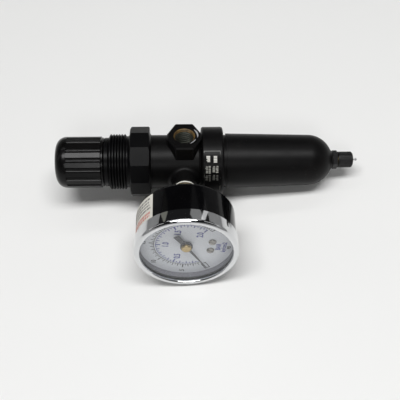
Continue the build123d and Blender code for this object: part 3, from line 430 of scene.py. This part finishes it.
def bar_scale():
    """Blue inner scale with its numbers: strokes point inwards from the arc."""
    shape = Shape()
    inner = SCALE_ARC_R - 0.9
    arc(shape, inner, 0.24, SCALE_ZERO + 12, SCALE_ZERO + BAR_FULL * BAR_STEP, ARC_SLABS)
    for half in range(1, 2 * BAR_FULL + 1):
        clock = SCALE_ZERO + half * BAR_STEP / 2
        if clock < ZERO_BOX + 8:
            continue
        if half % 10 == 0:
            tick(shape, clock, inner, inner - 2.3, 0.62)
        elif half % 2 == 0:
            tick(shape, clock, inner, inner - 1.6, 0.42)
        else:
            tick(shape, clock, inner, inner - 0.9, 0.32)
    for tenths in range(5, BAR_FULL + 1, 5):
        text(shape, f"{tenths / 10:.1f}", NUMBER_R, SCALE_ZERO + tenths * BAR_STEP, 3.1, 0.72, 0.03)
    text(shape, "BAR", 16.3, UNIT_CLOCK, 2.4, 0.82, 0.03)
    text(shape, "kg/cm2", 19.1, UNIT_CLOCK, 2.2, 0.86, 0.03)
    shape.build("dial_bar_scale", "regulator", "blue_ink")


def psi_scale():
    """Dark outer scale with its numbers: strokes point outwards from the arc."""
    shape = Shape()
    arc(shape, SCALE_ARC_R, 0.26, SCALE_ZERO + 14, SCALE_ZERO + PSI_FULL * PSI_STEP, ARC_SLABS)
    for half in range(3, 2 * PSI_FULL + 1):
        clock = SCALE_ZERO + half * PSI_STEP / 2
        if clock < ZERO_BOX + 6:
            continue
        if half % 10 == 0:
            tick(shape, clock, SCALE_ARC_R, SCALE_ARC_R + 2.6, 0.6)
        elif half % 2 == 0:
            tick(shape, clock, SCALE_ARC_R, SCALE_ARC_R + 1.9, 0.42)
        else:
            tick(shape, clock, SCALE_ARC_R, SCALE_ARC_R + 1.1, 0.32)
    for psi in range(5, PSI_FULL + 1, 5):
        text(shape, str(psi), PSI_NUMBER_R, SCALE_ZERO + psi * PSI_STEP, 2.4, 0.78, 0.02)
    text(shape, "PSI", PSI_NUMBER_R + 0.2, UNIT_CLOCK, 1.7, 0.8, 0.03)
    near, far, half = SCALE_ARC_R + 1.6, 22.2, 1.25
    box = ((near, -half), (far, -half), (far, half), (near, half))
    for corner, following in zip(box, box[1:] + box[:1]):
        box_side(shape, corner, following, 0.4)
    shape.build("dial_psi_scale", "regulator", "dark_ink")


def box_side(shape, first, second, width):
    """Straight stroke of the zero box, between two points given along and across its direction."""
    turn = math.radians(ZERO_BOX)
    out = Vector((math.sin(turn), 0, math.cos(turn)))
    side = Vector((math.cos(turn), 0, -math.sin(turn)))
    a, b = out * first[0] + side * first[1], out * second[0] + side * second[1]
    way = (b - a).normalized()
    edge = Vector((way.z, 0, -way.x)) * width / 2
    a, b = a - way * width / 2, b + way * width / 2
    loop = [a - edge, b - edge, b + edge, a + edge]
    face, front = Vector((0, -DIAL_FACE, 0)), Vector((0, -DIAL_FACE - PRINT_THICK, 0))
    shape.prism([tuple(p + face) for p in loop], [tuple(p + front) for p in loop])


# ------------------------------------------------------------------ pipe threads
def thread_sleeve(name, side, start, end, look):
    """Tapered internal pipe thread on the wall of a port, from one depth to another: a true helix.

    side is 1 for the upper port and -1 for the lower. The sleeve is closed by its outer wall.
    """
    around, rows_per_turn = 72, 12
    rows = int((end - start) / NPT_PITCH * rows_per_turn)
    verts, faces = [], []

    def add_ring(depth, radius_at):
        for i in range(around):
            turn = 2 * math.pi * i / around
            r = radius_at(i / around)
            verts.append((r * math.cos(turn), r * math.sin(turn), side * (PORT_FACE - depth)))

    for row in range(rows + 1):
        depth = start + (end - start) * row / rows
        foot = PORT_BORE_R - THREAD_GAP - NPT_TAPER * depth
        height = 0.0 if row in (0, rows) else THREAD_HEIGHT
        add_ring(depth, lambda part: foot - height * thread_form(depth / NPT_PITCH + part))
    for depth in (end, start):
        add_ring(depth, lambda part: PORT_BORE_R - THREAD_GAP / 3)
    rings = rows + 3
    for row in range(rings):
        for i in range(around):
            j = (i + 1) % around
            a, b = row * around, (row + 1) % rings * around
            faces.append((a + i, a + j, b + j, b + i))
    piece(name, verts, faces, "regulator", look, True)


def thread_form(turns):
    """Height of the thread, 0 at its root to 1 on its flat crest, after a number of turns."""
    return min(1.0, max(0.0, 1.35 - 3.4 * abs(turns % 1.0 - 0.5)))


def chip_crescent(name, start, end, r0, r1, seed):
    """Ragged crescent where the paint has worn off the rim of the upper port, coloured pale and barely
    metallic as a painted highlight of the glint on that rim.
    """
    rng = random.Random(seed)
    shape = Shape()
    steps = 26
    middle = (r0 + r1) / 2
    outer, inner = [], []
    for i in range(steps + 1):
        angle = start + (end - start) * i / steps
        fade = abs(math.sin(math.pi * i / steps)) ** 0.6
        outer.append((angle, middle + (r1 - middle) * fade * rng.uniform(0.5, 1.0)))
        inner.append((angle, middle - (middle - r0) * fade * rng.uniform(0.5, 1.0)))
    loop = outer + list(reversed(inner))
    flat = [(r * math.cos(math.radians(a)), r * math.sin(math.radians(a))) for a, r in loop]
    shape.prism([(x, y, PORT_FACE - 0.01) for x, y in flat], [(x, y, PORT_FACE + 0.02) for x, y in flat])
    shape.build(name, "regulator", "chipped_edge_and_glint")


# ------------------------------------------------------------------ gauge shells
def lathe(name, node, profile, look):
    """Smooth shell about the gauge axis, from a closed (station, radius) outline, in a node's place."""
    sides, rings = SHELL_SIDES, len(profile)
    verts = []
    for station, radius in profile:
        verts += [on_case(radius, station, 360.0 * i / sides) for i in range(sides)]
    faces = []
    for row in range(rings):
        a, b = row * sides, (row + 1) % rings * sides
        faces += [(a + i, a + (i + 1) % sides, b + (i + 1) % sides, b + i) for i in range(sides)]
    shell = piece(name, verts, faces, "regulator", look, True)
    shell.data.set_sharp_from_angle(angle=math.radians(32))
    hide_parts(node)


def rolled(station, radius, corner, start, end, steps=10):
    """Arc of an outline about a corner's centre; angle 0 points outwards and 90 to the viewer."""
    points = []
    for i in range(steps + 1):
        turn = math.radians(start + (end - start) * i / steps)
        points.append((station + corner * math.sin(turn), radius + corner * math.cos(turn)))
    return points


def bezel_ring():
    """Chrome rim: rolled front edge, lip over the window, and a skirt round the front of the case."""
    outline = [(BEZEL_BACK, BEZEL_R)]
    outline += rolled(BEZEL_FRONT - BEZEL_ROLL, BEZEL_R - BEZEL_ROLL, BEZEL_ROLL, 0, 90)
    outline += rolled(BEZEL_LIP, BEZEL_OPENING + BEZEL_LIP_R, BEZEL_LIP_R, 75, 170, 6)
    outline += [(WINDOW_FRONT, BEZEL_OPENING), (WINDOW_FRONT, SHELL_R), (BEZEL_BACK, SHELL_R)]
    lathe("bezel_ring", "gauge_bezel", outline, "chrome")


def case_shell():
    """Black cup of the gauge: round-edged back with a hole for the stem, open at the front."""
    inner, back = SHELL_R - SHELL_WALL, CASE_BACK + SHELL_WALL
    outline = [(CASE_BACK, STEM_R)]
    outline += rolled(CASE_BACK + CASE_CORNER, SHELL_R - CASE_CORNER, CASE_CORNER, -90, 0)
    outline += [(CASE_FRONT, SHELL_R), (CASE_FRONT, inner), (back + SHELL_INNER_CORNER, inner),
                (back, inner - SHELL_INNER_CORNER), (back, STEM_R)]
    lathe("case_shell", "gauge_case", outline, "case_paint")


# ------------------------------------------------------------------ labels
def rating_marks():
    """Blank blocks in place of the rating label's lettering: two bold columns that lead to fine rows."""
    rng = random.Random(11)
    bold = ((11.4, 13.3), (15.2, 17.0))
    fine = ((10.8, 12.1), (12.5, 13.6), (14.6, 15.9), (16.3, 17.6))
    for name, look, columns, top, bottom, gap in (
        ("rating_marks_bold", "white_ink", bold, 54.0, 42.5, 0.7),
        ("rating_marks_medium", "pale_ink", fine, 37.5, 25.0, 1.0),
        ("rating_marks_fine", "grey_ink", fine, 22.5, 11.0, 1.2),
    ):
        shape = Shape()
        for left, right in columns:
            angle = top - rng.uniform(0, 1.0)
            while angle > bottom + 1.0:
                width = rng.uniform(1.0, 2.0)
                short = (right - left) * rng.choice((0.0, 0.0, 0.25))
                patch(shape, on_drum, COLLAR_R, (left + short, right), (angle - width, angle))
                angle -= width + gap * rng.uniform(0.6, 1.3)
        shape.build(name, "regulator", look)


def label_border():
    """Thin raised outline of the rating label, open at its lower end."""
    shape = Shape()
    top = LABEL_TOP - 0.1
    patch(shape, on_drum, COLLAR_R, (LABEL_LEFT, LABEL_RIGHT), (LABEL_TOP - 0.9, top))
    for left in (LABEL_LEFT, LABEL_RIGHT - LABEL_LINE):
        patch(shape, on_drum, COLLAR_R, (left, left + LABEL_LINE), (LABEL_END + 0.2, top), 24)
    shape.build("label_border", "regulator", "grey_ink")


def sticker_marks():
    """Grey and red dashes in place of the paper sticker's lettering, in lines round the case."""
    rng = random.Random(5)
    lines = (
        ("sticker_lines", "print_grey", (42.6, 44.6, 46.6, 48.6), 1.0),
        ("sticker_red_lines", "red_ink", (51.4, 53.2), 1.3),
    )
    for name, look, stations, width in lines:
        shape = Shape()
        for station in stations:
            clock = 318.0 - rng.uniform(0, 4)
            end = 256.0 + rng.uniform(0, 14)
            while clock > end:
                length = rng.uniform(1.2, 4.0)
                patch(shape, on_case, CASE_R, (station, station + width), (clock - length, clock), 2)
                clock -= length + rng.uniform(0.7, 1.4)
        shape.build(name, "regulator", look)


dress_nodes()
bezel_ring()
case_shell()
bar_scale()
psi_scale()
# lighter first turn of the upper port's thread: pipe dope and painted light where light falls into the
# mouth
thread_sleeve("inlet_thread", 1, 0.15, 2.2, "pipe_dope_and_painted_light")
thread_sleeve("inlet_thread_deep", 1, 2.2, 10.2, "bare_thread")
thread_sleeve("outlet_thread", -1, 0.15, 10.2, "bare_thread")
# worn rim of the upper port, with a painted highlight for its glint
chip_crescent("port_rim_wear_and_glint_a", -12.0, 42.0, 6.5, 7.6, 3)
chip_crescent("port_rim_wear_and_glint_b", -64.0, -22.0, 6.1, 6.8, 8)
rating_marks()
label_border()
sticker_marks()


# ------------------------------------------------------------------ stage: floor, light, camera
FLOOR_HALF = 3.0            # all in metres, as the bench frame is
WALL_R = 2.1                # from the part to the low wall
WALL_COVE = 0.5             # radius of the wall's foot
WALL_HEIGHT = 0.95
WALL_GAP = 0.0005           # between the wall's foot and the floor
WALL_SIDES = 96
PANEL_DISTANCE = 1.5


def flat_material(name, colour, roughness, glow):
    """Plain surface of the stage, faintly uneven in colour."""
    mat, tree, shader = material(name)
    shade = tuple(c * 0.985 for c in colour)
    blotch = ramp(tree, noise(tree, 3.0), 0, 1)
    tree.links.new(mix_colour(tree, blotch, colour, shade), shader.inputs["Base Color"])
    shader.inputs["Emission Color"].default_value = (1, 1, 1, 1)
    set_inputs(shader, Roughness=roughness, Emission_Strength=glow)
    return mat


def stage_mesh(name, verts, faces, look):
    """Smooth mesh in the bench frame that belongs to the stage, not to the part."""
    mesh = bpy.data.meshes.new(name)
    mesh.from_pydata(verts, [], faces)
    for polygon in mesh.polygons:
        polygon.use_smooth = True
    mesh.materials.append(look)
    obj = bpy.data.objects.new(name, mesh)
    bpy.context.scene.collection.objects.link(obj)


def make_floor():
    """White bench."""
    half = FLOOR_HALF
    corners = [(-half, -half, 0), (half, -half, 0), (half, half, 0), (-half, half, 0)]
    white = flat_material("floor_white", (0.83, 0.83, 0.82), 0.55, 0.0)
    stage_mesh("floor", corners, [(0, 1, 2, 3)], white)


def make_wall():
    """Pale low wall round the far edge of the bench, which curves up from it."""
    cove_steps, sides = 8, WALL_SIDES
    profile = []
    for i in range(cove_steps + 1):
        turn = math.pi / 2 * i / cove_steps
        out, up = WALL_COVE * math.sin(turn), WALL_COVE * math.cos(turn)
        profile.append((WALL_R - WALL_COVE + out, WALL_COVE - up))
    profile.append((WALL_R, WALL_HEIGHT))
    verts = []
    for r, z in profile:
        for i in range(sides):
            turn = 2 * math.pi * i / sides
            verts.append((r * math.cos(turn), r * math.sin(turn), z + WALL_GAP))
    faces = []
    for row in range(len(profile) - 1):
        a, b = row * sides, (row + 1) * sides
        faces += [(a + (i + 1) % sides, a + i, b + i, b + (i + 1) % sides) for i in range(sides)]
    stage_mesh("wall", verts, faces, flat_material("wall_pale", (0.66, 0.66, 0.66), 0.8, 0.03))


def area_light(name, elevation, azimuth, distance, size, power, tint=(1, 1, 1)):
    """Soft box aimed at the part: azimuth 0 is in front of the gauge, size is wide then high in metres."""
    light = bpy.data.lights.new(name, "AREA")
    light.shape = "RECTANGLE"
    light.size, light.size_y = size
    light.energy = power
    light.color = tint
    lamp = bpy.data.objects.new(name, light)
    bpy.context.scene.collection.objects.link(lamp)
    lift, turn = math.radians(elevation), math.radians(azimuth)
    way = Vector((math.sin(turn) * math.cos(lift), -math.cos(turn) * math.cos(lift), math.sin(lift)))
    lamp.location = way * distance
    lamp.rotation_euler = way.to_track_quat("Z", "Y").to_euler()


def wall_panel(name, elevation, azimuth, size, radiance, tint=(1, 1, 1)):
    """Part of a dim room wall, far enough off to show only in polished metal."""
    power = radiance * math.pi * size[0] * size[1]
    area_light(name, elevation, azimuth, PANEL_DISTANCE, size, power, tint)


def make_lights():
    """One large soft box overhead, two weak ones, and the walls that the polished gauge mirrors."""
    area_light("overhead", 82.0, 0.0, 1.4, (1.3, 0.34), 18.6)
    area_light("back", 64.0, 180.0, 1.2, (1.5, 0.12), 1.2)
    area_light("front", 40.0, 0.0, 1.2, (0.4, 0.2), 1.9)
    wall_panel("left_wall", 31.0, 219.0, (0.22, 0.26), 0.17, (1.0, 1.0, 0.85))
    wall_panel("right_wall", 41.5, 151.0, (0.5, 0.34), 0.22)
    wall_panel("right_window", 31.0, 139.5, (0.12, 0.37), 0.6)
    wall_panel("left_side", 35.0, 268.0, (0.25, 0.9), 0.9)
    wall_panel("right_side", 35.0, 92.0, (0.25, 0.9), 0.9)


def make_world():
    """Dim, slightly cool air of the room."""
    world = bpy.data.worlds.new("room")
    world.use_nodes = True
    background = world.node_tree.nodes["Background"]
    background.inputs["Color"].default_value = (0.95, 0.97, 1.0, 1)
    background.inputs["Strength"].default_value = 0.014
    bpy.context.scene.world = world
    bpy.context.scene.view_settings.view_transform = "Standard"


# Camera, in millimetres and degrees: it looks down the upper port's axis, then turns about that
# axis, leans back from it and rolls. The view's centre lies this far beside and below the crossing
# of body and ports.
CAMERA_DISTANCE = 406.9
CAMERA_LEAN = 41.3
CAMERA_TURN = -2.86
CAMERA_ROLL = 1.45
CAMERA_ASIDE = 8.6
CAMERA_BELOW = 21.33
CAMERA_LENS = 66.72


def make_camera():
    """Camera placed from the crossing of body and ports."""
    data = bpy.data.cameras.new("camera")
    data.lens = CAMERA_LENS
    data.sensor_width = 36.0
    data.clip_start = 0.01      # metres
    camera = bpy.data.objects.new("camera", data)
    bpy.context.scene.collection.objects.link(camera)
    turn = OWN.to_3x3().normalized().to_4x4()
    aim = (turn @ Matrix.Rotation(math.radians(CAMERA_TURN), 4, "Z")
           @ Matrix.Rotation(math.radians(CAMERA_LEAN), 4, "X")
           @ Matrix.Rotation(math.radians(CAMERA_ROLL), 4, "Z"))
    centre = OWN @ Vector((0, 0, 0))
    offset = Vector((CAMERA_ASIDE, -CAMERA_BELOW, CAMERA_DISTANCE)) * MM
    camera.matrix_world = Matrix.Translation(centre + aim.to_3x3() @ offset) @ aim
    bpy.context.scene.camera = camera


make_floor()
make_wall()
make_lights()
make_world()
make_camera()
